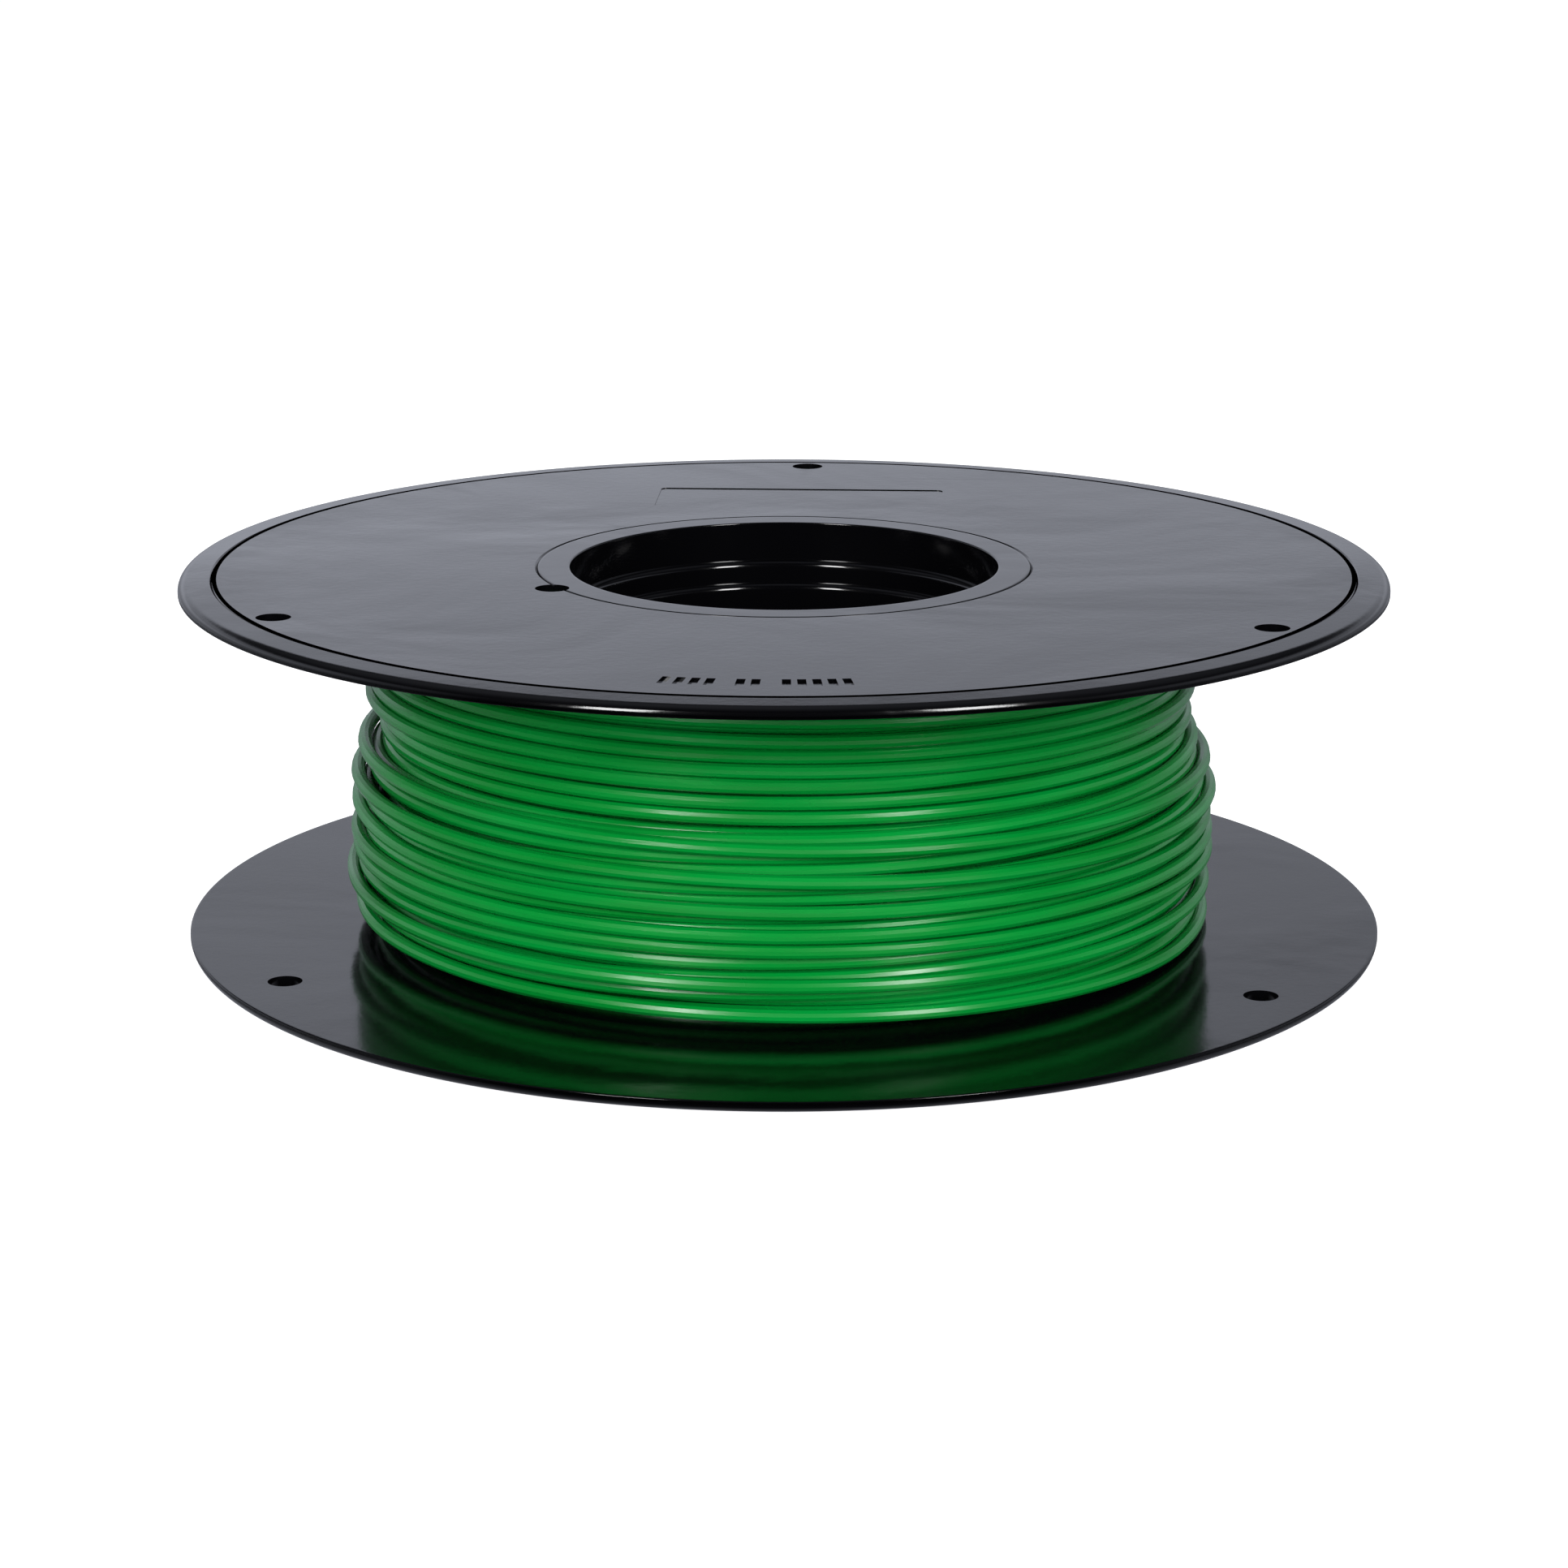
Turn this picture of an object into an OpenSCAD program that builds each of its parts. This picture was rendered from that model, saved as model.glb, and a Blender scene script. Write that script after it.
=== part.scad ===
// Filament spool: two flange discs on a telescoping two-part hub, with
// filament wound between the flanges.
//
// The axis is +Z. The origin is on the axis, at the lower flange's outer
// face, which the spool rests on. Azimuth 0 is +X and azimuth 90 is +Y.

/* [Flange] */
// Diameter of each flange
flange_d = 150; // [125:1:200]
// Thickness of each flange
flange_t = 1.6; // [1.5:0.1:4]
// Rounding of a flange's edge on its outer side
rim_round = 1.05; // [0.6:0.05:1.05]
// Rounding of a flange's edge on its inner side
inner_round = 0.2; // [0.1:0.05:0.3]
// Width of the plain band between the rim line and the edge
rim_band_w = 4.2; // [2.5:0.1:6]
// Fall of that band towards the edge
rim_band_fall = 0.25; // [0:0.05:0.3]
// Width of the fine V line inside the band
rim_line_w = 0.6; // [0.3:0.05:1]
// Depth of the fine V line
rim_line_depth = 0.3; // [0.1:0.05:0.5]

/* [Flange holes] */
// Diameter of the holes that hold an end of the filament, as a multiple of its diameter
strand_hole_share = 2.4; // [2.2:0.1:3]
// Distance from the edge to the centre of the holes for the outer end
tuck_hole_inset = 7.5; // [6.5:0.5:10]
// Number of those holes, evenly spaced
tuck_hole_count = 3; // [1:1:6]
// Azimuth of the hole beside the hub, where the filament's inner end starts
start_azimuth = 210; // [180:5:240]
// How far the start hole runs on into the hub's shoulder
start_notch_depth = 0.5; // [0.3:0.1:1.5]

/* [Flange face] */
// Width of the shallow label recess
label_w = 38.4; // [20:0.2:44]
// Height of the label recess, measured along the radius
label_h = 13.2; // [8:0.2:20]
// Distance from the hub ring to the label recess
label_gap = 6.5; // [2:0.5:8]
// Depth of the label recess
label_depth = 0.1; // [0.05:0.05:0.6]
// Corner radius of the label recess
label_corner = 0.8; // [0.3:0.1:3]
// Width of one of the short marks in the row opposite the label recess
mark_w = 1; // [0.5:0.1:1.3]
// Length of a mark along the radius
mark_l = 3.2; // [1:0.1:5]
// Distance between marks
mark_pitch = 1.7; // [1.5:0.1:2.5]
// Depth of a mark
mark_depth = 0.3; // [0.1:0.05:0.6]
// Distance from the edge to the middle of the row of marks
mark_inset = 11; // [8:0.1:15]

/* [Hub] */
// Distance between the flanges
winding_w = 43.2; // [30:0.2:80]
// Diameter of the counterbore at each end of the hub
entry_d = 53.4; // [44:0.2:66]
// Depth of each counterbore, down to its first step
entry_depth = 5; // [4:0.1:8]
// Distance from the first step down to the second
step_gap = 2.8; // [2:0.1:4]
// Width of each step
step_w = 1; // [1:0.1:2]
// Rounding of both steps
step_round = 0.9; // [0.3:0.05:0.95]
// Wall of the hub ring that shows in each flange
ring_wall = 4; // [3:0.1:5]
// Width of the shoulder that each flange seats on
shoulder_w = 0.6; // [0.4:0.1:1.5]
// Width of the stop inside the tube that the sleeve's end meets
stop_w = 1.2; // [0.8:0.1:1.5]
// Wall of the sleeve's foot, inside the tube's socket
foot_wall = 2.4; // [2:0.1:3]
// Distance from the lower flange's inner face to the top of that socket
foot_h = 6.5; // [6:0.5:10]
// How far the snap bead stands out of the sleeve
bead_h = 0.3; // [0.1:0.05:0.5]
// Radius of the snap bead's round section
bead_r = 0.8; // [0.6:0.1:1.2]
// Chamfer on the seam between the hub and a flange
seam_chamfer = 0.3; // [0.1:0.05:0.5]
// Rounding of the bore's mouth at each end
mouth_round = 0.4; // [0.2:0.05:0.6]

/* [Filament] */
// Diameter of the filament
strand_d = 1.75; // [1.5:0.05:3]
// Distance between neighbouring turns, surface to surface
strand_gap = 0.07; // [0.02:0.01:0.2]
// Distance from a flange's edge down to the widest turns, near the lower flange
winding_inset = 20.6; // [16:0.2:24]
// How much nearer the axis the turns lie at the upper flange
winding_taper = 2.8; // [0:0.1:5]
// Number of layers that the outer node holds
outer_layers = 3; // [2:1:5]

/* [Fits] */
// Radial clearance between pieces that are pushed together
fit_gap = 0.05; // [0.02:0.01:0.1]

/* [Hidden] */
$fn = 128;
cut = 1;
// The least straight wall between the two roundings of a flange's edge.
edge_wall = 0.1;
// The row of marks: how many stand in each group, with one place left free between groups.
mark_groups = [4, 2, 5];
black = [0.07, 0.07, 0.08];
soft_black = [0.11, 0.11, 0.12];
green = [0.02, 0.55, 0.2];

overall_w = winding_w + 2 * flange_t;
flange_r = flange_d / 2;
entry_r = entry_d / 2;
step_r = entry_r - step_w;
bore_r = step_r - step_w;
ring_r = entry_r + ring_wall;
drum_r = ring_r + shoulder_w;
guide_r = entry_r + stop_w;
socket_r = entry_r + foot_wall;
rim_line_r = flange_r - rim_band_w;
strand_hole_r = strand_hole_share * strand_d / 2;
tuck_r = flange_r - tuck_hole_inset;
start_r = drum_r + strand_d / 2 - strand_hole_r / 4;
label_mid = ring_r + label_gap + label_h / 2;
mark_r = flange_r - mark_inset;
upper_step_z = overall_w - entry_depth;
socket_top = flange_t + foot_h;

layer_pitch = strand_d * sqrt(3) / 2;
turn_pitch = strand_d + strand_gap;
turn_count = 1 + floor((winding_w - strand_d) / turn_pitch);
side_gap = (winding_w - strand_d - (turn_count - 1) * turn_pitch) / 2;
winding_r = flange_r - winding_inset;
core_r = winding_r - winding_taper - outer_layers * layer_pitch;

// Height of turn i, and the distance of its centre from the axis.
function turn_z(i) = flange_t + side_gap + strand_d / 2 + i * turn_pitch;
function ease(u) = u * u * (3 - 2 * u);
function turn_r(i) = winding_r - strand_d / 2 - winding_taper * ease(i / (turn_count - 1));

// The filament's outer end leaves the lowest turn on a tangent, comes down
// to the lower flange and ends in its tuck hole at azimuth 90. Its route is
// [distance past the hole's centre, height] along that tangent.
leave_angle = acos(turn_r(0) / tuck_r);
leave_run = sqrt(tuck_r * tuck_r - turn_r(0) * turn_r(0));
clear_run = sqrt(pow(turn_r(0) + strand_d, 2) - pow(turn_r(0), 2)) + 2 * strand_gap;
end_sides = 8;
// The bend into the hole, from its near edge, in radii of the filament.
dip = [[-4, 1.5], [-1, 1.12], [0.5, 0.98], [1.6, 0.45], [2.5, -0.35]];
// It stops inside the hole, clear of the lower flange's outer face.
dip_end = [3.2, max(-1.15, 0.675 - 2 * flange_t / strand_d)];
end_route = concat(
    [[clear_run - leave_run, turn_z(0)]],
    [for (p = concat(dip, [dip_end])) [-strand_hole_r, flange_t] + strand_d / 2 * p]
);

// ---------- profiles ----------

// What rounds the corner at the origin of a solid that fills x > 0, y > 0.
module corner_waste(r) {
    difference() {
        translate([-cut, -cut]) square(r + cut);
        translate([r, r]) circle(r);
        translate([r, -2 * cut]) square([2 * cut, r + 4 * cut]);
        translate([-2 * cut, r]) square([r + 4 * cut, 2 * cut]);
    }
}

module rectangle(r_in, r_out, z_low, z_high) {
    translate([r_in, z_low]) square([r_out - r_in, z_high - z_low]);
}

module flange_profile() {
    crown_z = flange_t - rim_band_fall;
    edge_round = min(rim_round, crown_z - inner_round - edge_wall);
    difference() {
        union() {
            polygon([
                [ring_r + fit_gap, 0],
                [flange_r - edge_round, 0],
                [flange_r - edge_round, crown_z],
                [rim_line_r, flange_t],
                [ring_r + fit_gap, flange_t]
            ]);
            rectangle(flange_r - edge_round - cut, flange_r - inner_round, 0, inner_round);
            rectangle(flange_r - edge_round - cut, flange_r, inner_round, crown_z - edge_round);
            translate([flange_r - inner_round, inner_round]) circle(inner_round);
            translate([flange_r - edge_round, crown_z - edge_round]) intersection() {
                circle(edge_round);
                translate([-edge_wall, -edge_wall]) square(edge_round + 2 * edge_wall);
            }
        }
        polygon([
            [rim_line_r - rim_line_w / 2, flange_t + 0.001],
            [rim_line_r, flange_t - rim_line_depth],
            [rim_line_r + rim_line_w / 2, flange_t + 0.001]
        ]);
        polygon([
            [ring_r + fit_gap - cut, flange_t + cut],
            [ring_r + fit_gap - cut, flange_t - seam_chamfer - cut],
            [ring_r + fit_gap + seam_chamfer + cut, flange_t + cut]
        ]);
    }
}

module hub_tube_profile() {
    top_flange_z = overall_w - flange_t;
    difference() {
        union() {
            rectangle(entry_r, ring_r, top_flange_z - cut, overall_w);
            rectangle(entry_r, drum_r, flange_t, top_flange_z);
        }
        rectangle(entry_r - cut, socket_r, 0, socket_top);
        rectangle(entry_r - cut, guide_r, 0, upper_step_z);
        translate([entry_r, overall_w]) mirror([0, 1]) corner_waste(mouth_round);
        translate([ring_r, overall_w]) rotate(45) square(seam_chamfer * sqrt(2), center = true);
        translate([guide_r - fit_gap + bead_h - bead_r, overall_w / 2]) circle(bead_r + fit_gap);
    }
}

module hub_sleeve_profile() {
    lower_step_z = entry_depth;
    sleeve_r = guide_r - fit_gap;
    difference() {
        union() {
            rectangle(bore_r, ring_r, 0, flange_t);
            rectangle(bore_r, socket_r - fit_gap, flange_t - cut, socket_top - fit_gap);
            rectangle(bore_r, sleeve_r, flange_t, upper_step_z);
            translate([sleeve_r + bead_h - bead_r, overall_w / 2]) circle(bead_r);
        }
        rectangle(0, entry_r, -cut, lower_step_z);
        rectangle(0, step_r, -cut, lower_step_z + step_gap);
        rectangle(0, step_r, upper_step_z - step_gap, overall_w);
        translate([step_r, lower_step_z]) corner_waste(step_round);
        translate([bore_r, lower_step_z + step_gap]) corner_waste(step_round);
        translate([step_r, upper_step_z]) mirror([0, 1]) corner_waste(step_round);
        translate([bore_r, upper_step_z - step_gap]) mirror([0, 1]) corner_waste(step_round);
        translate([entry_r, 0]) corner_waste(mouth_round);
        translate([ring_r, 0]) rotate(45) square(seam_chamfer * sqrt(2), center = true);
    }
}

// The outer side of turn i, from above its middle to below it.
function turn_outline(i) = [
    for (a = [60 : -20 : -60]) [turn_r(i) + strand_d / 2 * cos(a), turn_z(i) + strand_d / 2 * sin(a)]
];

module outer_layers_profile() {
    last = turn_count - 1;
    polygon(concat(
        [[core_r, turn_z(0) - strand_d / 2], [core_r, turn_z(last) + strand_d / 2]],
        [for (i = [last : -1 : 0]) each turn_outline(i)]
    ));
}

// ---------- flange details ----------

module tuck_holes() {
    for (i = [0 : tuck_hole_count - 1]) {
        rotate(90 + i * 360 / tuck_hole_count) translate([tuck_r, 0, -cut])
            cylinder(r = strand_hole_r, h = flange_t + 2 * cut);
    }
}

module start_hole(z_low) {
    rotate(start_azimuth) translate([start_r, 0, z_low]) cylinder(r = strand_hole_r, h = flange_t + 2 * cut);
}

module label_recess() {
    inner_w = label_w - 2 * label_corner;
    inner_h = label_h - 2 * label_corner;
    translate([0, label_mid, flange_t - label_depth]) linear_extrude(label_depth + cut) {
        square([label_w, inner_h], center = true);
        square([inner_w, label_h], center = true);
        for (x = [-1, 1], y = [-1, 1]) {
            translate([x * inner_w / 2, y * inner_h / 2]) circle(label_corner, $fn = 32);
        }
    }
}

// The place of the first mark of group g.
function group_start(g) = g == 0 ? 0 : group_start(g - 1) + mark_groups[g - 1] + 1;

module mould_marks() {
    last = len(mark_groups) - 1;
    middle = (group_start(last) + mark_groups[last] - 1) / 2;
    for (g = [0 : last], i = [0 : mark_groups[g] - 1]) {
        place = group_start(g) + i - middle;
        rotate(-90 + place * mark_pitch / mark_r * 180 / PI)
            translate([mark_r - mark_l / 2, -mark_w / 2, flange_t - mark_depth])
                cube([mark_l, mark_w, mark_depth + cut]);
    }
}

// One flange disc, with its inner face at z = 0 and its outer face up.
module flange_disc() {
    difference() {
        rotate_extrude() flange_profile();
        tuck_holes();
        start_hole(-cut);
        label_recess();
        mould_marks();
    }
}

// ---------- pieces ----------

module upper_flange() {
    color(black) translate([0, 0, overall_w - flange_t]) flange_disc();
}

// The same moulding, turned over.
module lower_flange() {
    color(black) translate([0, 0, flange_t]) rotate([0, 180, 0]) flange_disc();
}

module hub_tube() {
    color(soft_black) difference() {
        rotate_extrude() hub_tube_profile();
        start_hole(overall_w - flange_t - start_notch_depth);
    }
}

module hub_sleeve() {
    color(soft_black) difference() {
        rotate_extrude() hub_sleeve_profile();
        rotate([0, 180, 0]) start_hole(-flange_t);
    }
}

module filament_inner_layers() {
    color(green) rotate_extrude() rectangle(drum_r, core_r, flange_t, overall_w - flange_t);
}

module filament_outer_layers() {
    color(green) rotate_extrude() outer_layers_profile();
}

// The heading of the end's route at point i, as a unit vector.
function end_heading(i) =
    let (
        last = len(end_route) - 1,
        run = end_route[min(i + 1, last)] - end_route[max(i - 1, 0)]
    ) run / norm(run);

// One ring of the end's surface, square to its route.
function end_ring(i) = [
    for (k = [0 : end_sides - 1])
        let (
            a = k * 360 / end_sides,
            t = end_heading(i),
            up = strand_d / 2 * cos(a)
        ) [end_route[i].x - t.y * up, strand_d / 2 * sin(a), end_route[i].y + t.x * up]
];

module filament_outer_end() {
    rings = len(end_route);
    n = end_sides;
    points = [for (i = [0 : rings - 1]) each end_ring(i)];
    sides = [
        for (i = [0 : rings - 2], k = [0 : n - 1])
            [i * n + k, i * n + (k + 1) % n, (i + 1) * n + (k + 1) % n, (i + 1) * n + k]
    ];
    caps = [[for (k = [n - 1 : -1 : 0]) k], [for (k = [0 : n - 1]) (rings - 1) * n + k]];
    color(green) translate([0, tuck_r, 0]) rotate(180 - leave_angle) polyhedron(points, concat(sides, caps));
}

upper_flange();
lower_flange();
hub_tube();
hub_sleeve();
filament_inner_layers();
filament_outer_layers();
filament_outer_end();
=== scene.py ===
import math

import bmesh
import bpy
import numpy as np
from mathutils import Matrix, Vector


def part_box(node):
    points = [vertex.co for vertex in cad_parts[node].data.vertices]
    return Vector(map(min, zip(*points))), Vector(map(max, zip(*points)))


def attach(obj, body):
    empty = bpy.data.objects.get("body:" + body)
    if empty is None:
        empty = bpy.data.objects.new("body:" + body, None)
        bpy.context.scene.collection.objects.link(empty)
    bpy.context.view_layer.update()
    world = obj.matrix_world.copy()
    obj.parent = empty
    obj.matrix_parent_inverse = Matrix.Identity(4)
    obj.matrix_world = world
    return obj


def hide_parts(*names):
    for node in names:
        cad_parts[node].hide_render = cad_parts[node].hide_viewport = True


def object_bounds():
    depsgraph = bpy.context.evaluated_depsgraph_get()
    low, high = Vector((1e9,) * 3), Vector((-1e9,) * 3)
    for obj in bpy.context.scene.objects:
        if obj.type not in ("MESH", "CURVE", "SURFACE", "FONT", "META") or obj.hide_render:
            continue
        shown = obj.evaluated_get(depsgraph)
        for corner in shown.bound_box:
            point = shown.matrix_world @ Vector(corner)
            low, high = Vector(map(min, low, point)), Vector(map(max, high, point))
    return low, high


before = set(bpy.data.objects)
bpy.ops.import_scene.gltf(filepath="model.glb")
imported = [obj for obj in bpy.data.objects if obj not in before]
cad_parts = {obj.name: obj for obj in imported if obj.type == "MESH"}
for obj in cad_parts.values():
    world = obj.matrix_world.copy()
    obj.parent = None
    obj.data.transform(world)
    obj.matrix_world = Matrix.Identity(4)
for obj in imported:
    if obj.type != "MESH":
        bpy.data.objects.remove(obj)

# ---------- what the frame gives, in metres ----------

MM = 0.001
BODY = "root"
cad_low, cad_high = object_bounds()
_, lower_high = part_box("lower_flange")
_, upper_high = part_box("upper_flange")
_, tube_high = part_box("hub_tube")
_, sleeve_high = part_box("hub_sleeve")
_, core_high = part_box("filament_inner_layers")

OVERALL = cad_high.z
FLANGE_T = lower_high.z
FLANGE_R = upper_high.x
RING_R = sleeve_high.x
DRUM_R = tube_high.x
UPPER_STEP_Z = sleeve_high.z
CORE_R = core_high.x

# ---------- the moulded pieces ----------

TURNED_STEPS = 256
ROUND_STEPS = 7
HOLE_SEGMENTS = 48
CORNER_SEGMENTS = 6
SHARP_ANGLE = math.radians(28)
# How far beside an arc or a groove the extra point lies that keeps the flat evenly shaded.
HOLD = 0.25 * MM
# How far a cutter reaches past the face it opens.
PAST = 1 * MM

RIM_ROUND = 1.05 * MM
INNER_ROUND = 0.2 * MM
RIM_BAND_W = 4.2 * MM
RIM_BAND_FALL = 0.25 * MM
RIM_LINE_W = 0.6 * MM
RIM_LINE_DEPTH = 0.25 * MM
SEAM = 0.3 * MM
FIT = 0.05 * MM
# Where extra rings lie on a flange's flat faces, as shares of the way from its hole to the tuck holes.
# They keep the faces beside the holes short.
FACE_RINGS = (0.11, 0.3, 0.5, 0.7, 0.9, 1.09)

STRAND_D = 1.75 * MM
STRAND_R = STRAND_D / 2
HOLE_R = 2.4 * STRAND_R
TUCK_INSET = 7.5 * MM
TUCK_R = FLANGE_R - TUCK_INSET
TUCK_COUNT = 3
START_R = DRUM_R + STRAND_R - HOLE_R / 4
START_AZIMUTH = math.radians(210)
# How far below the upper flange the start hole's cutter begins.
START_CLEAR = 0.5 * MM

LABEL_W, LABEL_H = 38.4 * MM, 13.2 * MM
LABEL_GAP = 6.5 * MM
LABEL_MID = RING_R + LABEL_GAP + LABEL_H / 2
LABEL_DEPTH = 0.1 * MM
LABEL_CORNER = 0.8 * MM
MARK_W, MARK_L, MARK_DEPTH = 1.0 * MM, 3.2 * MM, 0.3 * MM
MARK_PITCH = 1.7 * MM
MARK_INSET = 11 * MM
MARK_R = FLANGE_R - MARK_INSET
MARK_GROUPS = (4, 2, 5)

RING_WALL = 4 * MM
ENTRY_R = RING_R - RING_WALL
STEP_W = 1 * MM
STEP_GAP = 2.8 * MM
STEP_ROUND = 0.72 * MM
MOUTH_ROUND = 0.15 * MM
RING_ROUND = 0.12 * MM
STOP_W = 1.2 * MM
FOOT_WALL = 2.4 * MM
SOCKET_DEPTH = 6.5 * MM
SOCKET_TOP = FLANGE_T + SOCKET_DEPTH
LOWER_STEP_Z = OVERALL - UPPER_STEP_Z


def rounded(corners):
    """The outline through (r, z, radius) corners, with an arc at each corner that has a radius.
    A point just outside each arc keeps the flat beside it evenly shaded."""
    points = []
    for i, (r, z, radius) in enumerate(corners):
        here = Vector((r, z))
        if not radius:
            points.append(here)
            continue
        back = (Vector(corners[i - 1][:2]) - here).normalized()
        on = (Vector(corners[(i + 1) % len(corners)][:2]) - here).normalized()
        half = math.acos(max(-1, min(1, back.dot(on)))) / 2
        reach = radius / math.tan(half)
        centre = here + (back + on).normalized() * radius / math.sin(half)
        first = here + back * reach - centre
        last = here + on * reach - centre
        points.append(here + back * (reach + HOLD))
        turn = first.angle_signed(last)
        for step in range(ROUND_STEPS + 1):
            a = -turn * step / ROUND_STEPS
            points.append(centre + Vector((first.x * math.cos(a) - first.y * math.sin(a),
                                           first.x * math.sin(a) + first.y * math.cos(a))))
        points.append(here + on * (reach + HOLD))
    return points


def turned(name, corners):
    """A closed ring: the outline spun once around the axis."""
    form = bmesh.new()
    verts = [form.verts.new((p.x, 0, p.y)) for p in rounded(corners)]
    edges = [form.edges.new((verts[i - 1], verts[i])) for i in range(len(verts))]
    bmesh.ops.spin(form, geom=verts + edges, cent=(0, 0, 0), axis=(0, 0, 1), angle=2 * math.pi,
                   steps=TURNED_STEPS, use_merge=True, use_duplicate=False)
    bmesh.ops.recalc_face_normals(form, faces=form.faces)
    return as_object(name, form)


def as_object(name, form):
    mesh = bpy.data.meshes.new(name)
    form.to_mesh(mesh)
    form.free()
    made = bpy.data.objects.new(name, mesh)
    bpy.context.scene.collection.objects.link(made)
    return made


def hole_cutter(azimuth, distance, radius, z_low, z_high):
    """A cutter for a round hole at a place given by azimuth and distance from the axis."""
    form = bmesh.new()
    bmesh.ops.create_cone(form, cap_ends=True, segments=HOLE_SEGMENTS, radius1=radius, radius2=radius,
                          depth=z_high - z_low)
    place = Vector((distance * math.cos(azimuth), distance * math.sin(azimuth), (z_low + z_high) / 2))
    bmesh.ops.translate(form, verts=form.verts, vec=place)
    return form


def plate_cutter(width, length, corner, distance, azimuth, z_low, z_high):
    """A cutter for a recess: a plate with round corners, its length along the radius."""
    form = bmesh.new()
    bmesh.ops.create_cube(form, size=1)
    bmesh.ops.scale(form, verts=form.verts, vec=(length, width, z_high - z_low))
    bmesh.ops.translate(form, verts=form.verts, vec=(distance, 0, (z_low + z_high) / 2))
    bmesh.ops.rotate(form, verts=form.verts, cent=(0, 0, 0), matrix=Matrix.Rotation(azimuth, 3, "Z"))
    if corner:
        upright = [edge for edge in form.edges if abs(edge.verts[0].co.z - edge.verts[1].co.z) > corner]
        bmesh.ops.bevel(form, geom=upright, offset=corner, offset_type="OFFSET", affect="EDGES",
                        segments=CORNER_SEGMENTS, profile=0.5, material=-1)
    return form


def cut_away(piece, form):
    """Cuts one solid out of the piece."""
    bmesh.ops.recalc_face_normals(form, faces=form.faces)
    cutter = as_object("cutter", form)
    trim = piece.modifiers.new("cut", "BOOLEAN")
    trim.operation = "DIFFERENCE"
    trim.solver = "EXACT"
    trim.object = cutter
    seen = piece.evaluated_get(bpy.context.evaluated_depsgraph_get())
    mesh = bpy.data.meshes.new_from_object(seen)
    piece.modifiers.remove(trim)
    old = piece.data
    piece.data = mesh
    bpy.data.meshes.remove(old)
    mesh.name = piece.name
    bpy.data.objects.remove(cutter)


def finish_piece(piece, node, material):
    piece.data.shade_smooth()
    piece.data.set_sharp_from_angle(angle=SHARP_ANGLE)
    piece.data.materials.clear()
    piece.data.materials.append(material)
    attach(piece, BODY)
    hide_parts(node)


def flange(name):
    """A flange with its inner face at z = 0 and its outer face up."""
    line_r = FLANGE_R - RIM_BAND_W
    hole_r = RING_R + FIT
    line_half = RIM_LINE_W / 2
    rings = [hole_r + (TUCK_R - hole_r) * share for share in FACE_RINGS]
    piece = turned(name, [
        (hole_r, 0, 0),
        (hole_r + HOLD, 0, 0),
        *((r, 0, 0) for r in rings),
        (FLANGE_R, 0, INNER_ROUND),
        (FLANGE_R, FLANGE_T - RIM_BAND_FALL, RIM_ROUND),
        (line_r + line_half + HOLD, FLANGE_T - RIM_BAND_FALL * (line_half + HOLD) / RIM_BAND_W, 0),
        (line_r + line_half, FLANGE_T - RIM_BAND_FALL * line_half / RIM_BAND_W, 0),
        (line_r, FLANGE_T - RIM_LINE_DEPTH, 0),
        (line_r - line_half, FLANGE_T, 0),
        (line_r - line_half - HOLD, FLANGE_T, 0),
        *((r, FLANGE_T, 0) for r in reversed(rings)),
        (hole_r + SEAM + HOLD, FLANGE_T, 0),
        (hole_r + SEAM, FLANGE_T, 0),
        (hole_r, FLANGE_T - SEAM, 0),
    ])
    for i in range(TUCK_COUNT):
        azimuth = math.pi / 2 + i * 2 * math.pi / TUCK_COUNT
        cut_away(piece, hole_cutter(azimuth, TUCK_R, HOLE_R, -PAST, FLANGE_T + PAST))
    cut_away(piece, hole_cutter(START_AZIMUTH, START_R, HOLE_R, -PAST, FLANGE_T + PAST))
    cut_away(piece, plate_cutter(LABEL_W, LABEL_H, LABEL_CORNER, LABEL_MID, math.pi / 2,
                                 FLANGE_T - LABEL_DEPTH, FLANGE_T + PAST))
    places, place = [], 0
    for count in MARK_GROUPS:
        places += [place + i for i in range(count)]
        place += count + 1
    for place in places:
        azimuth = -math.pi / 2 + (place - places[-1] / 2) * MARK_PITCH / MARK_R
        cut_away(piece, plate_cutter(MARK_W, MARK_L, 0, MARK_R, azimuth,
                                     FLANGE_T - MARK_DEPTH, FLANGE_T + PAST))
    return piece


def place_flange(piece, upper):
    """Moves the piece's vertices to its place; the lower flange is the same piece turned over."""
    coords = np.empty(len(piece.data.vertices) * 3)
    piece.data.vertices.foreach_get("co", coords)
    coords = coords.reshape(-1, 3)
    if upper:
        coords[:, 2] += OVERALL - FLANGE_T
    else:
        coords[:, 0] *= -1
        coords[:, 2] = FLANGE_T - coords[:, 2]
    piece.data.vertices.foreach_set("co", coords.ravel())
    piece.data.update()


def hub_tube():
    piece = turned("hub_tube_turned", [
        (ENTRY_R, OVERALL, MOUTH_ROUND),
        (ENTRY_R, UPPER_STEP_Z, 0),
        (ENTRY_R + STOP_W, UPPER_STEP_Z, 0),
        (ENTRY_R + STOP_W, SOCKET_TOP, 0),
        (ENTRY_R + FOOT_WALL, SOCKET_TOP, 0),
        (ENTRY_R + FOOT_WALL, FLANGE_T, 0),
        (DRUM_R, FLANGE_T, 0),
        (DRUM_R, OVERALL - FLANGE_T, 0),
        (RING_R, OVERALL - FLANGE_T, 0),
        (RING_R, OVERALL, RING_ROUND),
    ])
    cut_away(piece, hole_cutter(START_AZIMUTH, START_R, HOLE_R,
                                OVERALL - FLANGE_T - START_CLEAR, OVERALL + PAST))
    return piece


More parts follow.
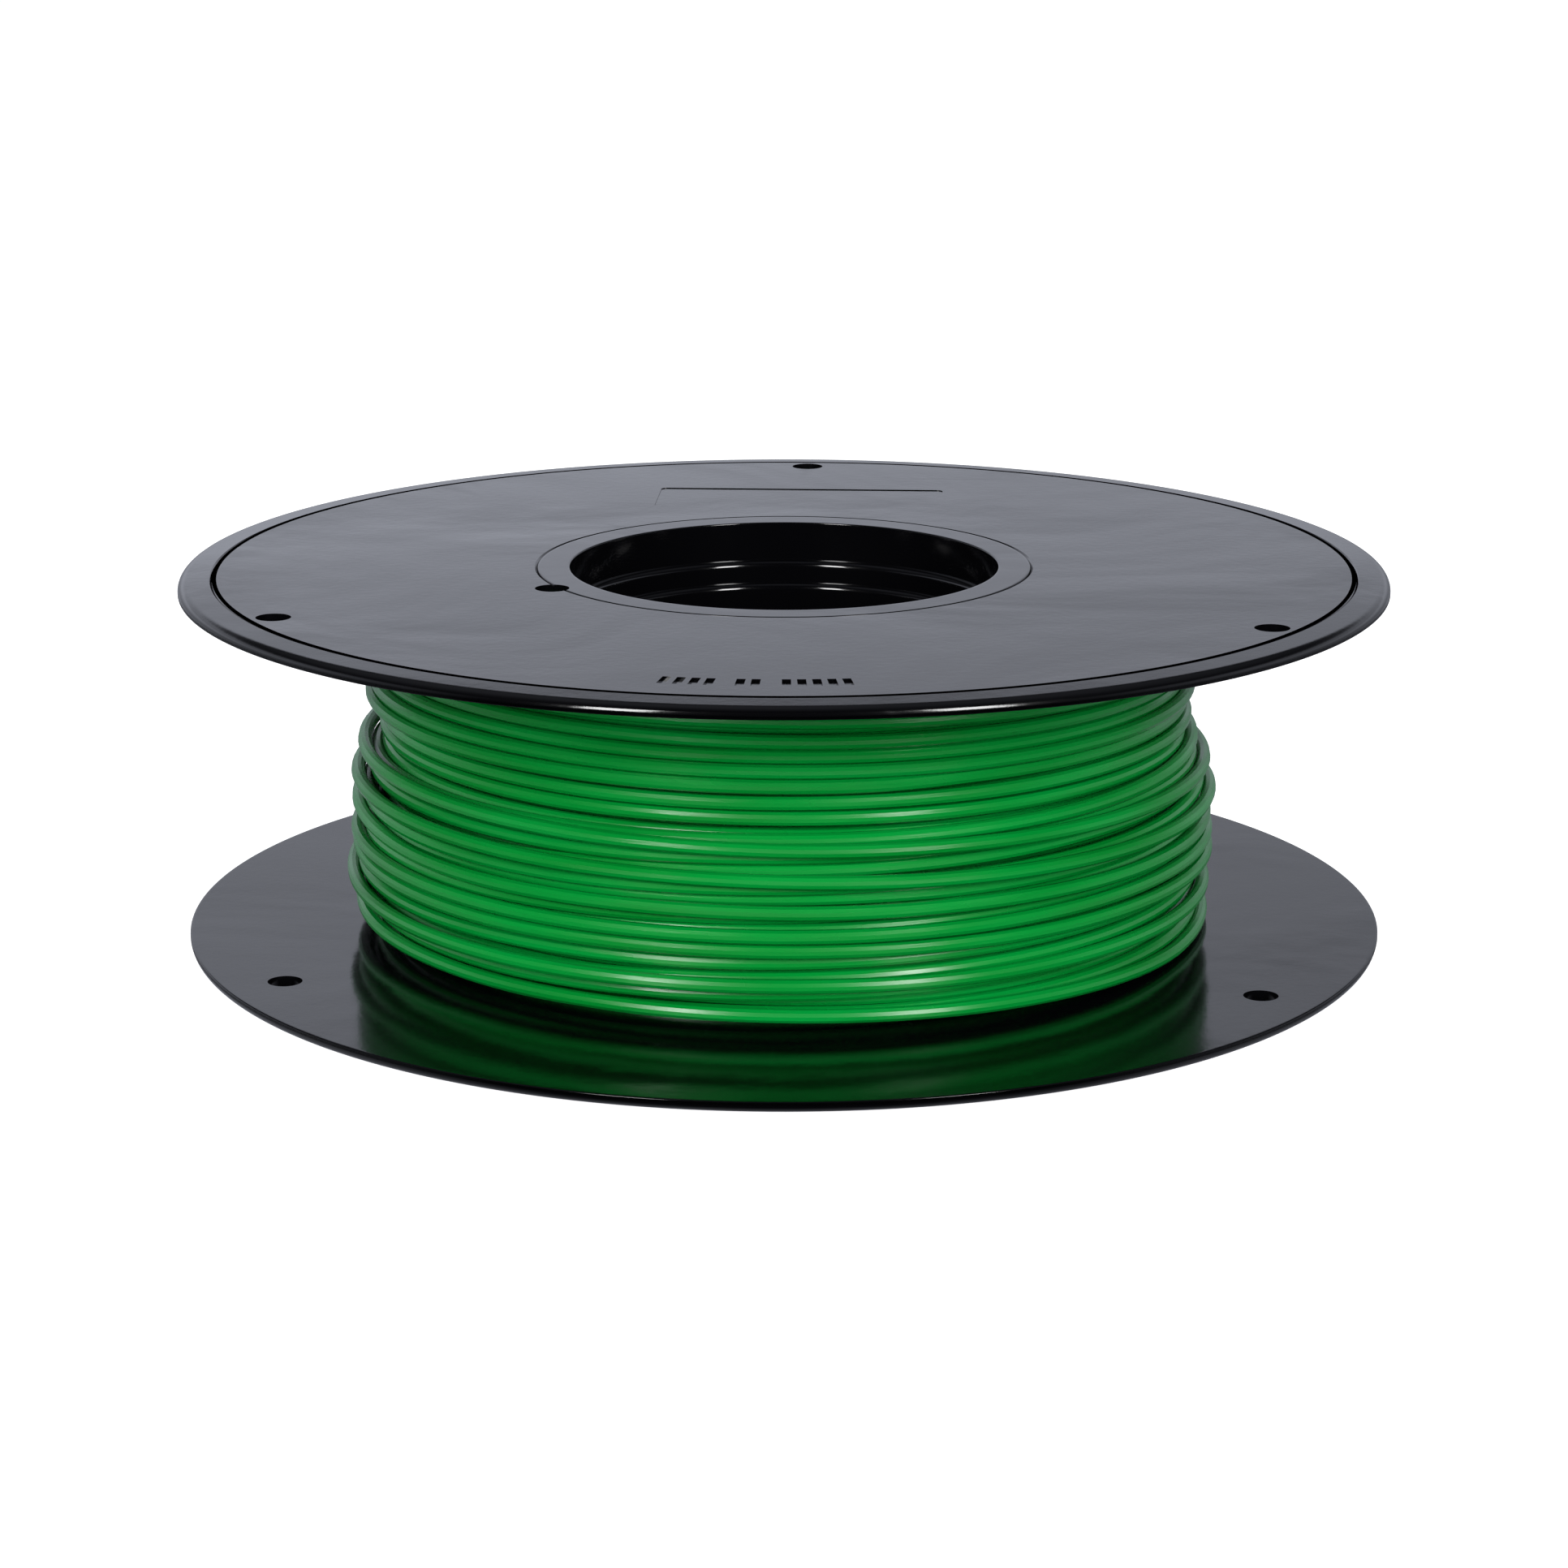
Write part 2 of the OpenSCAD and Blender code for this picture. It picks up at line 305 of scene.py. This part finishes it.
def hub_sleeve():
    step_r, bore_r = ENTRY_R - STEP_W, ENTRY_R - 2 * STEP_W
    guide_r = ENTRY_R + STOP_W - FIT
    foot_r = ENTRY_R + FOOT_WALL - FIT
    piece = turned("hub_sleeve_turned", [
        (guide_r, UPPER_STEP_Z, 0),
        (guide_r, SOCKET_TOP - FIT, 0),
        (foot_r, SOCKET_TOP - FIT, 0),
        (foot_r, FLANGE_T, 0),
        (RING_R, FLANGE_T, 0),
        (RING_R, 0, RING_ROUND),
        (ENTRY_R, 0, MOUTH_ROUND),
        (ENTRY_R, LOWER_STEP_Z, 0),
        (step_r, LOWER_STEP_Z, STEP_ROUND),
        (step_r, LOWER_STEP_Z + STEP_GAP, 0),
        (bore_r, LOWER_STEP_Z + STEP_GAP, STEP_ROUND),
        (bore_r, UPPER_STEP_Z - STEP_GAP, STEP_ROUND),
        (step_r, UPPER_STEP_Z - STEP_GAP, 0),
        (step_r, UPPER_STEP_Z, STEP_ROUND),
    ])
    cut_away(piece, hole_cutter(math.pi - START_AZIMUTH, START_R, HOLE_R, -PAST, FLANGE_T + PAST))
    return piece


# ---------- the filament ----------

STEPS_PER_TURN = 120
SIDE_GAP = 0.4 * MM
# Each run of the traverse: how far up it goes, as a share of the width, how many turns it takes,
# and how far its turns stray from an even helix.
RUNS = (
    (1.00, 22, 0.30 * MM),
    (0.00, 21, 0.45 * MM),
    (0.55, 12, 0.50 * MM),
    (0.00, 7, 0.60 * MM),
)
WINDING_SEED = 2
# How the strand wanders from its lead: the spread of quick and slow wandering, in steps, and their shares.
STRAY_SPREAD = STEPS_PER_TURN // 4
QUICK_SPREAD, QUICK_SHARE = STEPS_PER_TURN / 7, 0.55
SLOW_SPREAD, SLOW_SHARE = STEPS_PER_TURN * 0.9, 0.8
# How close the centres of two touching turns come, as a share of the strand's diameter.
PRESSED = 0.985
# How the strand slides sideways to lie lower: how far it may go in mm, how many places it tries,
# what leaving its line and changing its slide cost, and how much of the best slide it takes each step.
SLIDE_REACH, SLIDE_CHOICES = 0.7, 15
OFF_LINE_COST, CHANGE_COST = 0.5, 3.0
SLIDE_TAKEN = 0.15
# How many steps to each side the strand bridges a dip over, and how many its rise is eased over.
BRIDGE, EASE = 2, 4
STRAND_BEVEL = 4
MERGE_WITHIN = 0.0001 * MM
# The bend into the hole, in strand radii: along the run from the hole's near side, and up from the face.
END_BEND = ((-4, 1.5), (-1, 1.12), (0.5, 0.98), (1.6, 0.45), (2.5, -0.35), (3.2, -1.1))
END_STEPS, END_SPREAD = 90, 2.0
Z_LOWEST = FLANGE_T + SIDE_GAP + STRAND_R
Z_HIGHEST = OVERALL - FLANGE_T - SIDE_GAP - STRAND_R


def smooth(values, width):
    """A Gaussian average, with the ends held."""
    reach = int(3 * width)
    offsets = np.arange(-reach, reach + 1)
    weights = np.exp(-0.5 * (offsets / width) ** 2)
    return np.convolve(np.pad(values, reach, mode="edge"), weights / weights.sum(), mode="valid")


def traverse(rng):
    """The height at which the strand is led on at each step of the winding."""
    share, stray, at = [], [], 0.0
    for target, turns, amount in RUNS:
        steps = turns * STEPS_PER_TURN
        share.append(at + (target - at) * np.arange(steps) / steps)
        stray.append(np.full(steps, amount))
        at = target
    share = np.concatenate(share)
    stray = smooth(np.concatenate(stray), STRAY_SPREAD)
    quick = smooth(rng.normal(size=len(share)), QUICK_SPREAD)
    slow = smooth(rng.normal(size=len(share)), SLOW_SPREAD)
    wander = QUICK_SHARE * quick / quick.std() + SLOW_SHARE * slow / slow.std()
    return np.clip(Z_LOWEST + (Z_HIGHEST - Z_LOWEST) * share + stray * wander, Z_LOWEST, Z_HIGHEST)


def lay_strand():
    """Winds the strand step by step, each step resting on the turns that lie under it.
    Gives the distance from the axis and the height of its centre at each step."""
    z = traverse(np.random.default_rng(WINDING_SEED))
    count = len(z)
    radius, raw, lifted = np.zeros(count), np.zeros(count), np.zeros(count)
    touch = STRAND_D * PRESSED
    base = CORE_R + STRAND_R
    slides = np.linspace(-SLIDE_REACH, SLIDE_REACH, SLIDE_CHOICES) * MM
    slide = 0.0
    kernel = np.exp(-0.5 * (np.arange(-EASE, EASE + 1) / (EASE / 2)) ** 2)
    kernel /= kernel.sum()

    def resting(heights, step):
        under = np.arange(step - STEPS_PER_TURN, -1, -STEPS_PER_TURN)
        gap = np.abs(heights[:, None] - z[under][None, :])
        lift = radius[under][None, :] + np.sqrt(np.maximum(touch**2 - gap**2, 0))
        return np.maximum(np.where(gap < touch, lift, base).max(axis=1, initial=base), base)

    for step in range(count):
        options = np.clip(z[step] + slides, Z_LOWEST, Z_HIGHEST)
        strain = (OFF_LINE_COST * slides**2 + CHANGE_COST * (slides - slide) ** 2) / MM
        cost = resting(options, step) + strain
        slide += (slides[int(cost.argmin())] - slide) * SLIDE_TAKEN
        z[step] = min(max(z[step] + slide, Z_LOWEST), Z_HIGHEST)
        raw[step] = resting(z[step:step + 1], step)[0]
        ready = step - BRIDGE
        if ready >= 0:
            lifted[ready] = raw[max(ready - BRIDGE, 0):step + 1].max()
        done = ready - EASE
        if done >= EASE:
            radius[done] = (lifted[done - EASE:done + EASE + 1] * kernel).sum()
        elif done >= 0:
            radius[done] = lifted[done]
    radius[done + 1:] = radius[done]
    return radius, z


def strand_piece(name, path):
    """A round strand along the path, closed at both ends."""
    curve = bpy.data.curves.new(name, "CURVE")
    curve.dimensions = "3D"
    curve.bevel_depth = STRAND_R
    curve.bevel_resolution = STRAND_BEVEL
    curve.use_fill_caps = True
    spline = curve.splines.new("POLY")
    spline.points.add(len(path) - 1)
    spline.points.foreach_set("co", np.column_stack([path, np.ones(len(path))]).ravel())
    drawn = bpy.data.objects.new(name + "_path", curve)
    bpy.context.scene.collection.objects.link(drawn)
    seen = drawn.evaluated_get(bpy.context.evaluated_depsgraph_get())
    form = bmesh.new()
    form.from_mesh(bpy.data.meshes.new_from_object(seen))
    bpy.data.objects.remove(drawn)
    bmesh.ops.remove_doubles(form, verts=form.verts, dist=MERGE_WITHIN)
    bmesh.ops.recalc_face_normals(form, faces=form.faces)
    return as_object(name, form)


def end_run(radius, z):
    """The strand's outer end, from the winding's last step into the lower flange's hole at azimuth 90."""
    run = math.sqrt(TUCK_R**2 - radius**2)
    route = [(-run, z), (-run * 0.75, z), (-run * 0.5, z * 0.7 + 0.3 * (FLANGE_T + 1.5 * STRAND_R))]
    route += [(-HOLE_R + STRAND_R * along, FLANGE_T + STRAND_R * up) for along, up in END_BEND]
    route = np.array(route)
    length = np.concatenate([[0], np.cumsum(np.linalg.norm(np.diff(route, axis=0), axis=1))])
    fine = np.linspace(0, length[-1], END_STEPS)
    s = np.interp(fine, length, route[:, 0])
    h = np.interp(fine, length, route[:, 1])
    s[1:-1], h[1:-1] = smooth(s, END_SPREAD)[1:-1], smooth(h, END_SPREAD)[1:-1]
    leave = math.acos(radius / TUCK_R)
    way = np.array([math.cos(math.pi - leave), math.sin(math.pi - leave)])
    return np.stack([s * way[0], TUCK_R + s * way[1], h], axis=1)


# ---------- shared material effects ----------

def new_group(name, inputs, outputs):
    group = bpy.data.node_groups.new(name, "ShaderNodeTree")
    for label, kind in inputs:
        group.interface.new_socket(label, in_out="INPUT", socket_type=kind)
    for label, kind in outputs:
        group.interface.new_socket(label, in_out="OUTPUT", socket_type=kind)
    nodes = group.nodes
    return group, nodes, group.links, nodes.new("NodeGroupInput"), nodes.new("NodeGroupOutput")


def moulded_surface():
    """The unevenness of a moulded face: broad flow marks from the hub outwards and fine grain."""
    value, vector = "NodeSocketFloat", "NodeSocketVector"
    group, nodes, links, given, result = new_group(
        "moulded_surface",
        [("Position", vector), ("Cloud Scale", value), ("Grain Scale", value)],
        [("Cloud", value), ("Grain", value), ("Height", value)])
    cloud = nodes.new("ShaderNodeTexNoise")
    cloud.inputs["Detail"].default_value = 3
    cloud.inputs["Roughness"].default_value = 0.45
    cloud.inputs["Distortion"].default_value = 0.6
    links.new(given.outputs["Position"], cloud.inputs["Vector"])
    links.new(given.outputs["Cloud Scale"], cloud.inputs["Scale"])
    grain = nodes.new("ShaderNodeTexNoise")
    grain.inputs["Detail"].default_value = 6
    grain.inputs["Roughness"].default_value = 0.6
    links.new(given.outputs["Position"], grain.inputs["Vector"])
    links.new(given.outputs["Grain Scale"], grain.inputs["Scale"])
    mix = nodes.new("ShaderNodeMath")
    mix.operation = "MULTIPLY_ADD"
    links.new(grain.outputs["Fac"], mix.inputs[0])
    mix.inputs[1].default_value = 0.03
    links.new(cloud.outputs["Fac"], mix.inputs[2])
    links.new(cloud.outputs["Fac"], result.inputs["Cloud"])
    links.new(grain.outputs["Fac"], result.inputs["Grain"])
    links.new(mix.outputs[0], result.inputs["Height"])
    return group


def fine_scuffs():
    """A mask of short hairline scuffs that run in every direction."""
    value, vector = "NodeSocketFloat", "NodeSocketVector"
    group, nodes, links, given, result = new_group(
        "fine_scuffs", [("Position", vector), ("Scale", value), ("Amount", value)], [("Mask", value)])
    total = None
    for turn, stretch in ((20, 40), (75, 30), (140, 50)):
        mapping = nodes.new("ShaderNodeMapping")
        mapping.inputs["Rotation"].default_value = (0, 0, math.radians(turn))
        mapping.inputs["Scale"].default_value = (1, stretch, 1)
        links.new(given.outputs["Position"], mapping.inputs["Vector"])
        streak = nodes.new("ShaderNodeTexNoise")
        streak.inputs["Detail"].default_value = 2
        links.new(mapping.outputs["Vector"], streak.inputs["Vector"])
        links.new(given.outputs["Scale"], streak.inputs["Scale"])
        keep = nodes.new("ShaderNodeMapRange")
        keep.inputs["From Min"].default_value = 0.70
        keep.inputs["From Max"].default_value = 0.78
        links.new(streak.outputs["Fac"], keep.inputs["Value"])
        if total is None:
            total = keep.outputs["Result"]
            continue
        join = nodes.new("ShaderNodeMath")
        join.operation = "MAXIMUM"
        links.new(total, join.inputs[0])
        links.new(keep.outputs["Result"], join.inputs[1])
        total = join.outputs[0]
    weigh = nodes.new("ShaderNodeMath")
    weigh.operation = "MULTIPLY"
    links.new(total, weigh.inputs[0])
    links.new(given.outputs["Amount"], weigh.inputs[1])
    links.new(weigh.outputs[0], result.inputs["Mask"])
    return group


def worn_edges():
    """A mask of convex edges, where handling has dulled the gloss."""
    value = "NodeSocketFloat"
    group, nodes, links, given, result = new_group(
        "worn_edges", [("Grain", value), ("Amount", value)], [("Mask", value)])
    where = nodes.new("ShaderNodeNewGeometry")
    keep = nodes.new("ShaderNodeMapRange")
    keep.inputs["From Min"].default_value = 0.53
    keep.inputs["From Max"].default_value = 0.62
    links.new(where.outputs["Pointiness"], keep.inputs["Value"])
    rub = nodes.new("ShaderNodeMath")
    rub.operation = "MULTIPLY"
    links.new(keep.outputs["Result"], rub.inputs[0])
    links.new(given.outputs["Grain"], rub.inputs[1])
    weigh = nodes.new("ShaderNodeMath")
    weigh.operation = "MULTIPLY"
    links.new(rub.outputs[0], weigh.inputs[0])
    links.new(given.outputs["Amount"], weigh.inputs[1])
    links.new(weigh.outputs[0], result.inputs["Mask"])
    return group


def strand_surface():
    """Slow changes of tone and gloss along a strand, and fine lines drawn along it.
    A place is given by its distance around the axis and its height."""
    value, vector = "NodeSocketFloat", "NodeSocketVector"
    group, nodes, links, given, result = new_group(
        "strand_surface", [("Position", vector)], [("Tone", value), ("Gloss", value), ("Height", value)])
    split = nodes.new("ShaderNodeSeparateXYZ")
    links.new(given.outputs["Position"], split.inputs["Vector"])
    around = nodes.new("ShaderNodeMath")
    around.operation = "ARCTAN2"
    links.new(split.outputs["Y"], around.inputs[0])
    links.new(split.outputs["X"], around.inputs[1])
    flat = nodes.new("ShaderNodeCombineXYZ")
    links.new(around.outputs[0], flat.inputs["X"])
    links.new(split.outputs["Z"], flat.inputs["Y"])
    links.new(split.outputs["Y"], flat.inputs["Z"])
    outputs = (("Tone", (2, 350, 1), 1.0), ("Gloss", (5, 600, 1), 1.0), ("Height", (9, 5000, 1), 2.0))
    for label, stretch, detail in outputs:
        mapping = nodes.new("ShaderNodeMapping")
        mapping.inputs["Scale"].default_value = stretch
        links.new(flat.outputs["Vector"], mapping.inputs["Vector"])
        pattern = nodes.new("ShaderNodeTexNoise")
        pattern.inputs["Scale"].default_value = 1
        pattern.inputs["Detail"].default_value = detail
        links.new(mapping.outputs["Vector"], pattern.inputs["Vector"])
        links.new(pattern.outputs["Fac"], result.inputs[label])
    return group


# ---------- materials ----------

BLACK = (0.0015, 0.0015, 0.002, 1)
GREEN_DARK = (0.0, 0.205, 0.022, 1)
GREEN_LIGHT = (0.0, 0.27, 0.036, 1)
# The part of a noise's range that most of its values fall in.
NOISE_LOW, NOISE_HIGH = 0.3, 0.7


def new_material(name):
    material = bpy.data.materials.new(name)
    material.use_nodes = True
    return material, material.node_tree.nodes, material.node_tree.links


def use_group(nodes, group):
    node = nodes.new("ShaderNodeGroup")
    node.node_tree = group
    return node


def span(nodes, links, source, low, high, from_low=0.0, from_high=1.0):
    node = nodes.new("ShaderNodeMapRange")
    node.inputs["From Min"].default_value = from_low
    node.inputs["From Max"].default_value = from_high
    node.inputs["To Min"].default_value = low
    node.inputs["To Max"].default_value = high
    links.new(source, node.inputs["Value"])
    return node.outputs["Result"]


def add_values(nodes, links, first, second):
    node = nodes.new("ShaderNodeMath")
    node.operation = "ADD"
    links.new(first, node.inputs[0])
    links.new(second, node.inputs[1])
    return node.outputs[0]


def black_plastic(name, groups, cloud_scale, gloss_low, gloss_high, warp):
    """Glossy moulded black plastic. The gloss pair is its roughness where it is smoothest and dullest."""
    material, nodes, links = new_material(name)
    shader = nodes["Principled BSDF"]
    shader.inputs["Base Color"].default_value = BLACK
    shader.inputs["IOR"].default_value = 1.5
    where = nodes.new("ShaderNodeTexCoord")
    face = use_group(nodes, groups["moulded"])
    face.inputs["Cloud Scale"].default_value = cloud_scale
    face.inputs["Grain Scale"].default_value = 900
    links.new(where.outputs["Object"], face.inputs["Position"])
    scuffs = use_group(nodes, groups["scuffs"])
    scuffs.inputs["Scale"].default_value = 35
    scuffs.inputs["Amount"].default_value = 0.05
    links.new(where.outputs["Object"], scuffs.inputs["Position"])
    edges = use_group(nodes, groups["edges"])
    edges.inputs["Amount"].default_value = 0.10
    links.new(face.outputs["Grain"], edges.inputs["Grain"])
    roughness = span(nodes, links, face.outputs["Cloud"], gloss_low, gloss_high, NOISE_LOW, NOISE_HIGH)
    roughness = add_values(nodes, links, roughness, scuffs.outputs["Mask"])
    roughness = add_values(nodes, links, roughness, edges.outputs["Mask"])
    links.new(roughness, shader.inputs["Roughness"])
    bump = nodes.new("ShaderNodeBump")
    bump.inputs["Strength"].default_value = 1.0
    bump.inputs["Distance"].default_value = warp
    links.new(face.outputs["Height"], bump.inputs["Height"])
    links.new(bump.outputs["Normal"], shader.inputs["Normal"])
    return material


def green_plastic(name, group):
    """Satin extruded filament."""
    material, nodes, links = new_material(name)
    shader = nodes["Principled BSDF"]
    shader.inputs["IOR"].default_value = 1.46
    where = nodes.new("ShaderNodeTexCoord")
    surface = use_group(nodes, group)
    links.new(where.outputs["Object"], surface.inputs["Position"])
    ramp = nodes.new("ShaderNodeValToRGB")
    dark, light = ramp.color_ramp.elements
    dark.position, dark.color = NOISE_LOW, GREEN_DARK
    light.position, light.color = NOISE_HIGH, GREEN_LIGHT
    links.new(surface.outputs["Tone"], ramp.inputs["Fac"])
    links.new(ramp.outputs["Color"], shader.inputs["Base Color"])
    roughness = span(nodes, links, surface.outputs["Gloss"], 0.22, 0.32, NOISE_LOW, NOISE_HIGH)
    links.new(roughness, shader.inputs["Roughness"])
    bump = nodes.new("ShaderNodeBump")
    bump.inputs["Strength"].default_value = 0.25
    bump.inputs["Distance"].default_value = 0.04 * MM
    links.new(surface.outputs["Height"], bump.inputs["Height"])
    links.new(bump.outputs["Normal"], shader.inputs["Normal"])
    return material


# ---------- stage ----------

CAMERA_AZIMUTH = math.radians(2.8)
CAMERA_DISTANCE = 502.3 * MM
CAMERA_HEIGHT = 150.7 * MM
CAMERA_DOWN = math.radians(14.8)
CAMERA_LENS = 94.24
# How bright the studio looks in a reflection, at each height above the horizon in degrees.
STUDIO_LEVELS = (
    (9.5, 0.80), (11.5, 0.66), (13.5, 0.55), (15.5, 0.60), (19.0, 0.60),
    (24.0, 0.12), (30.0, 0.03), (42.0, 0.10), (60.0, 0.16),
)
FLOOR_DROP = 0.2 * MM


def set_camera():
    data = bpy.data.cameras.new("camera")
    camera = bpy.data.objects.new("camera", data)
    bpy.context.scene.collection.objects.link(camera)
    data.sensor_width = 36.0
    data.lens = CAMERA_LENS
    data.clip_start = 0.01
    data.clip_end = 50
    camera.location = (CAMERA_DISTANCE * math.sin(CAMERA_AZIMUTH),
                       -CAMERA_DISTANCE * math.cos(CAMERA_AZIMUTH), CAMERA_HEIGHT)
    camera.rotation_euler = (math.pi / 2 - CAMERA_DOWN, 0, CAMERA_AZIMUTH)
    bpy.context.scene.camera = camera
    bpy.context.scene.view_settings.view_transform = "Standard"


def soft_box(name, azimuth, elevation, distance, width, height, power, seen_in_gloss=True):
    """A light panel that faces the object. Azimuth 0 is the camera's side, positive to its right."""
    data = bpy.data.lights.new(name, "AREA")
    data.shape = "RECTANGLE"
    data.size = width
    data.size_y = height
    data.energy = power
    light = bpy.data.objects.new(name, data)
    bpy.context.scene.collection.objects.link(light)
    across = CAMERA_AZIMUTH + math.radians(azimuth)
    raised = math.radians(elevation)
    way = Vector((math.sin(across) * math.cos(raised), -math.cos(across) * math.cos(raised),
                  math.sin(raised)))
    light.location = (cad_low + cad_high) / 2 + way * distance
    light.rotation_euler = (-way).to_track_quat("-Z", "Y").to_euler()
    light.visible_glossy = seen_in_gloss


def set_world():
    """White behind the object for the camera; what the object reflects is pale low down at the back
    and dark overhead and behind the camera."""
    world = bpy.data.worlds.new("studio")
    bpy.context.scene.world = world
    world.use_nodes = True
    nodes, links = world.node_tree.nodes, world.node_tree.links
    where = nodes.new("ShaderNodeTexCoord")
    split = nodes.new("ShaderNodeSeparateXYZ")
    links.new(where.outputs["Generated"], split.inputs["Vector"])
    back = span(nodes, links, split.outputs["Y"], 0.0, 1.0, -0.6, 0.15)
    side = span(nodes, links, split.outputs["X"], 1.06, 0.84, -0.15, 0.15)
    profile = nodes.new("ShaderNodeValToRGB")
    links.new(split.outputs["Z"], profile.inputs["Fac"])
    stops = profile.color_ramp.elements
    stops[0].position, stops[0].color = 0.0, (0.35, 0.35, 0.35, 1)
    stops[1].position, stops[1].color = 1.0, (0.2, 0.2, 0.2, 1)
    for degrees, level in STUDIO_LEVELS:
        stop = stops.new(math.sin(math.radians(degrees)))
        stop.color = (level, level, level, 1)
    shaped = nodes.new("ShaderNodeMath")
    shaped.operation = "MULTIPLY"
    links.new(back, shaped.inputs[0])
    links.new(side, shaped.inputs[1])
    strength = nodes.new("ShaderNodeMath")
    strength.operation = "MULTIPLY"
    links.new(shaped.outputs[0], strength.inputs[0])
    links.new(profile.outputs["Color"], strength.inputs[1])
    path = nodes.new("ShaderNodeLightPath")
    mix = nodes.new("ShaderNodeMix")
    mix.data_type = "FLOAT"
    links.new(path.outputs["Is Camera Ray"], mix.inputs["Factor"])
    links.new(strength.outputs[0], mix.inputs["A"])
    mix.inputs["B"].default_value = 1.0
    tint = nodes.new("ShaderNodeMix")
    tint.data_type = "RGBA"
    links.new(path.outputs["Is Camera Ray"], tint.inputs["Factor"])
    tint.inputs["A"].default_value = (0.94, 0.98, 1.12, 1)
    tint.inputs["B"].default_value = (1, 1, 1, 1)
    background = nodes["Background"]
    links.new(tint.outputs["Result"], background.inputs["Color"])
    links.new(mix.outputs["Result"], background.inputs["Strength"])


def make_floor():
    form = bmesh.new()
    bmesh.ops.create_grid(form, x_segments=1, y_segments=1, size=6.0)
    floor = as_object("floor", form)
    floor.location.z = cad_low.z - FLOOR_DROP
    material, nodes, links = new_material("pale_floor")
    shader = nodes["Principled BSDF"]
    shader.inputs["Base Color"].default_value = (0.8, 0.8, 0.8, 1)
    shader.inputs["Roughness"].default_value = 1.0
    shader.inputs["Specular IOR Level"].default_value = 0.0
    shader.inputs["Emission Color"].default_value = (1, 1, 1, 1)
    shader.inputs["Emission Strength"].default_value = 0.9
    # Seen from below, the floor is clear, so that the underside can be looked at.
    where = nodes.new("ShaderNodeNewGeometry")
    clear = nodes.new("ShaderNodeBsdfTransparent")
    mix = nodes.new("ShaderNodeMixShader")
    links.new(where.outputs["Backfacing"], mix.inputs["Fac"])
    links.new(shader.outputs["BSDF"], mix.inputs[1])
    links.new(clear.outputs["BSDF"], mix.inputs[2])
    links.new(mix.outputs["Shader"], nodes["Material Output"].inputs["Surface"])
    floor.data.materials.append(material)
    floor.visible_glossy = False
    floor.visible_diffuse = False


set_camera()
set_world()
make_floor()
soft_box("soft_box_left", azimuth=-30, elevation=22, distance=1.2, width=0.24, height=0.50, power=8)
soft_box("soft_box_right", azimuth=34, elevation=22, distance=1.2, width=0.24, height=0.50, power=8)
soft_box("front_fill", azimuth=0, elevation=6, distance=1.4, width=2.4, height=1.3, power=14,
         seen_in_gloss=False)
soft_box("top_light", azimuth=0, elevation=88, distance=1.2, width=1.0, height=1.0, power=4,
         seen_in_gloss=False)

groups = {
    "moulded": moulded_surface(),
    "scuffs": fine_scuffs(),
    "edges": worn_edges(),
}
flange_finish = black_plastic("black_flange_plastic", groups, cloud_scale=22,
                              gloss_low=0.09, gloss_high=0.15, warp=0.35 * MM)
hub_finish = black_plastic("black_hub_plastic", groups, cloud_scale=40,
                           gloss_low=0.08, gloss_high=0.14, warp=0.10 * MM)
filament_finish = green_plastic("green_filament_plastic", strand_surface())
for name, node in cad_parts.items():
    node.data.materials.clear()
    node.data.materials.append(
        filament_finish if "filament" in name else hub_finish if "hub" in name else flange_finish)

for name, upper in (("upper_flange", True), ("lower_flange", False)):
    piece = flange(name + "_turned")
    place_flange(piece, upper)
    finish_piece(piece, name, flange_finish)
finish_piece(hub_tube(), "hub_tube", hub_finish)
finish_piece(hub_sleeve(), "hub_sleeve", hub_finish)

radius, height = lay_strand()
leave_azimuth = math.pi / 2 - math.acos(radius[-1] / TUCK_R)
angle = leave_azimuth + (np.arange(len(radius)) - len(radius) + 1) * 2 * math.pi / STEPS_PER_TURN
path = np.stack([radius * np.cos(angle), radius * np.sin(angle), height], axis=1)
cuts = np.cumsum([0] + [turns * STEPS_PER_TURN for _, turns, _ in RUNS])
# A run ends on the next one's first step, and the last run ends on the path's last step.
cuts[-1] -= 1
for number, (first, last) in enumerate(zip(cuts[:-1], cuts[1:])):
    piece = strand_piece(f"filament_run_{number + 1}", path[first:last + 1])
    finish_piece(piece, "filament_outer_layers", filament_finish)
piece = strand_piece("filament_end_run", end_run(radius[-1], height[-1]))
finish_piece(piece, "filament_outer_end", filament_finish)

bpy.context.view_layer.update()
